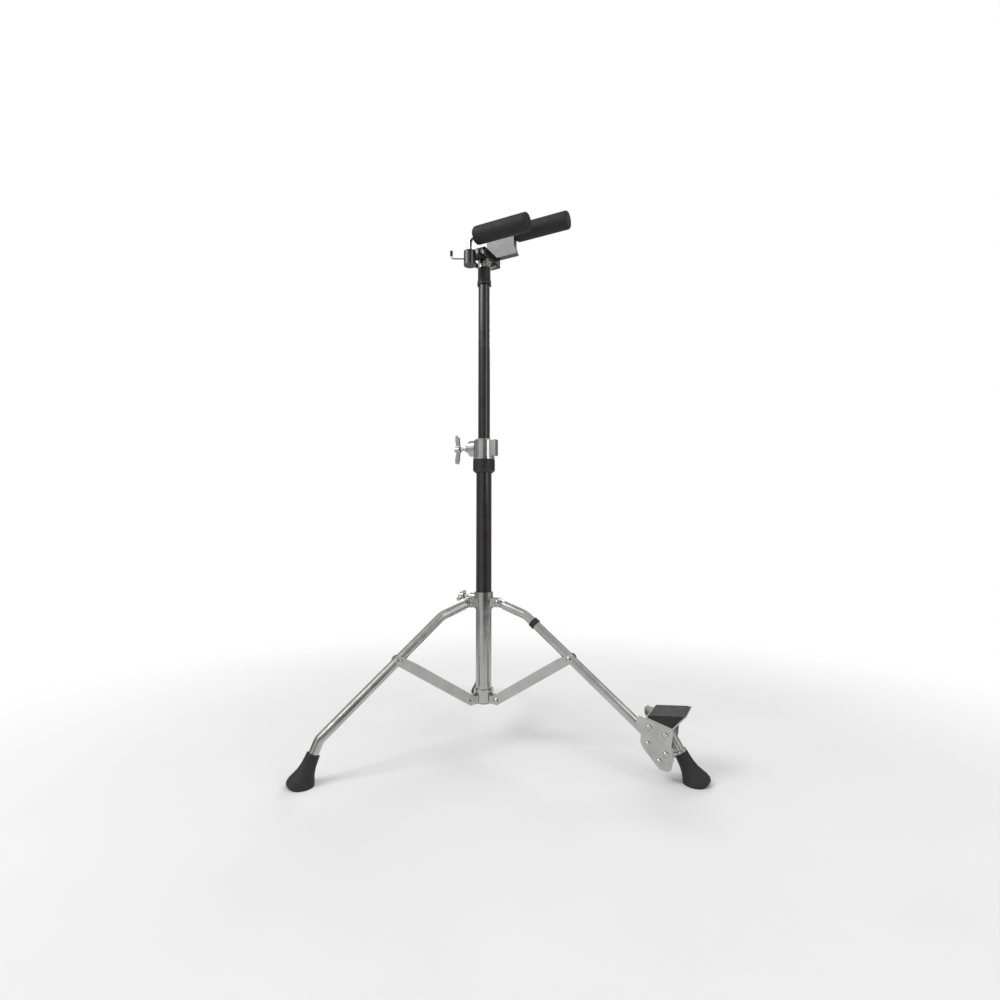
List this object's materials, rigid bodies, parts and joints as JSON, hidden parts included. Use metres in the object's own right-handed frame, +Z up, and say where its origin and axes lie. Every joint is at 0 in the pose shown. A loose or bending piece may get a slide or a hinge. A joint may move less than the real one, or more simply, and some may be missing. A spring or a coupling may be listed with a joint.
{
  "type": "cello stand",
  "caption": "Folding tripod stand with a telescopic column, two rubber-covered neck arms, a bow hook and a padded cradle on its front leg.",
  "frame": {"origin": "centre of the footprint, on the floor", "axes": "+Z up along the column, +X along the front leg with the cradle"},
  "size_m": [0.5683, 0.5962, 0.9714],
  "materials": {
    "chrome_plate": "bright plated, slightly worn",
    "black_paint": "gloss black",
    "black_rubber": "matt",
    "black_plastic": "satin black"
  },
  "bodies": {
    "column_base": {"column_foot_tube": "chrome_plate", "column_black_tube": "black_paint", "column_end_cap": "black_plastic", "bottom_collar": "chrome_plate", "clamp_sleeve": "black_plastic", "clamp_ring": "chrome_plate", "clamp_body": "chrome_plate"},
    "upper_collar": {"top_collar": "chrome_plate"},
    "collar_bolt": {"top_collar_wing_bolt": "chrome_plate"},
    "clamp_bolt": {"clamp_wing_bolt": "chrome_plate"},
    "mast": {"upper_tube": "black_paint", "upper_tube_guide": "black_plastic", "top_bushing": "black_plastic", "head_post": "chrome_plate"},
    "head_nut": {"head_wing_nut": "chrome_plate"},
    "head": {"yoke_head": "black_paint", "far_arm_bracket": "black_paint", "far_arm_rod": "chrome_plate", "far_arm_sleeve": "black_rubber"},
    "near_arm": {"near_arm_rod": "chrome_plate", "near_arm_sleeve": "black_rubber"},
    "hook": {"bow_hook": "chrome_plate", "bow_hook_tip": "black_rubber"},
    "leg_front": {"leg_tube_front": "chrome_plate", "leg_eye_front": "chrome_plate", "leg_rivet_front": "chrome_plate", "foot_front": "black_rubber", "leg_band": "black_rubber", "cradle_plate_near": "chrome_plate", "cradle_plate_far": "chrome_plate", "cradle_foot_tube": "chrome_plate", "cradle_foot_ring": "chrome_plate", "cradle_bracket": "chrome_plate", "cradle_pad": "black_rubber", "cradle_bolt_leg": "chrome_plate", "cradle_bolt_upper": "chrome_plate", "cradle_bolt_lower": "chrome_plate", "cradle_bolt_side": "chrome_plate", "cradle_bolt_stub": "chrome_plate"},
    "strut_front": {"brace_front": "chrome_plate", "brace_rivet_front": "chrome_plate", "junction_rivet_front_near": "chrome_plate", "junction_rivet_front_far": "chrome_plate"},
    "leg_rear_left": {"leg_tube_rear_left": "chrome_plate", "leg_eye_rear_left": "chrome_plate", "leg_rivet_rear_left": "chrome_plate", "foot_rear_left": "black_rubber"},
    "strut_rear_left": {"brace_rear_left": "chrome_plate", "brace_rivet_rear_left": "chrome_plate", "junction_rivet_rear_left_near": "chrome_plate", "junction_rivet_rear_left_far": "chrome_plate"},
    "leg_rear_right": {"leg_tube_rear_right": "chrome_plate", "leg_eye_rear_right": "chrome_plate", "leg_rivet_rear_right": "chrome_plate", "foot_rear_right": "black_rubber"},
    "strut_rear_right": {"brace_rear_right": "chrome_plate", "brace_rivet_rear_right": "chrome_plate", "junction_rivet_rear_right_near": "chrome_plate", "junction_rivet_rear_right_far": "chrome_plate"}
  },
  "joints": [
    {"name": "fold_slide", "type": "slide", "parent": "column_base", "child": "upper_collar", "axis": [0, 0, 1], "range_m": [0, 0.14845]},
    {"name": "height_adjust", "type": "slide", "parent": "column_base", "child": "mast", "axis": [0, 0, 1], "range_m": [-0.068, 0.07]},
    {"name": "clamp_bolt_turn", "type": "hinge", "parent": "column_base", "child": "clamp_bolt", "pos_m": [-0.13745, 0, 0.5365], "axis": [1, 0, 0], "range_deg": [0, 360]},
    {"name": "collar_bolt_turn", "type": "hinge", "parent": "upper_collar", "child": "collar_bolt", "pos_m": [-0.12695, 0, 0.261], "axis": [1, 0, 0], "range_deg": [0, 360]},
    {"name": "head_nut_turn", "type": "hinge", "parent": "mast", "child": "head_nut", "pos_m": [-0.09895, 0, 0.8795], "axis": [0, 0, 1], "range_deg": [0, 360]},
    {"name": "head_swivel", "type": "hinge", "parent": "mast", "child": "head", "pos_m": [-0.09895, 0, 0.896], "axis": [0, 0, 1], "continuous": true},
    {"name": "near_arm_swing", "type": "hinge", "parent": "head", "child": "near_arm", "pos_m": [-0.10895, -0.038, 0.8985], "axis": [0, 0, 1], "range_deg": [-100, 0]},
    {"name": "bow_hook_turn", "type": "hinge", "parent": "head", "child": "hook", "pos_m": [-0.11509, -0.04135, 0.8845], "axis": [-0.878, -0.4787, 0], "range_deg": [-90, 90]},
    {"name": "leg_hinge_front", "type": "hinge", "parent": "upper_collar", "child": "leg_front", "pos_m": [-0.06895, 0, 0.252], "axis": [0, 1, 0], "range_deg": [0, 50.2]},
    {"name": "brace_hinge_front", "type": "hinge", "parent": "column_base", "child": "strut_front", "pos_m": [-0.06895, 0, 0.08], "axis": [0, 1, 0], "range_deg": [-50.2, 0]},
    {"name": "leg_hinge_rear_left", "type": "hinge", "parent": "upper_collar", "child": "leg_rear_left", "pos_m": [-0.11395, 0.02598, 0.252], "axis": [-0.866, -0.5, 0], "range_deg": [0, 50.2]},
    {"name": "brace_hinge_rear_left", "type": "hinge", "parent": "column_base", "child": "strut_rear_left", "pos_m": [-0.11395, 0.02598, 0.08], "axis": [-0.866, -0.5, 0], "range_deg": [-50.2, 0]},
    {"name": "leg_hinge_rear_right", "type": "hinge", "parent": "upper_collar", "child": "leg_rear_right", "pos_m": [-0.11395, -0.02598, 0.252], "axis": [0.866, -0.5, 0], "range_deg": [0, 50.2]},
    {"name": "brace_hinge_rear_right", "type": "hinge", "parent": "column_base", "child": "strut_rear_right", "pos_m": [-0.11395, -0.02598, 0.08], "axis": [0.866, -0.5, 0], "range_deg": [-50.2, 0]}
  ],
  "couplings": [
    {"joint": "leg_hinge_front", "follows": "fold_slide", "rad_per_m": 5.8785},
    {"joint": "brace_hinge_front", "follows": "fold_slide", "rad_per_m": -5.8785},
    {"joint": "leg_hinge_rear_left", "follows": "fold_slide", "rad_per_m": 5.8785},
    {"joint": "brace_hinge_rear_left", "follows": "fold_slide", "rad_per_m": -5.8785},
    {"joint": "leg_hinge_rear_right", "follows": "fold_slide", "rad_per_m": 5.8785},
    {"joint": "brace_hinge_rear_right", "follows": "fold_slide", "rad_per_m": -5.8785}
  ]
}
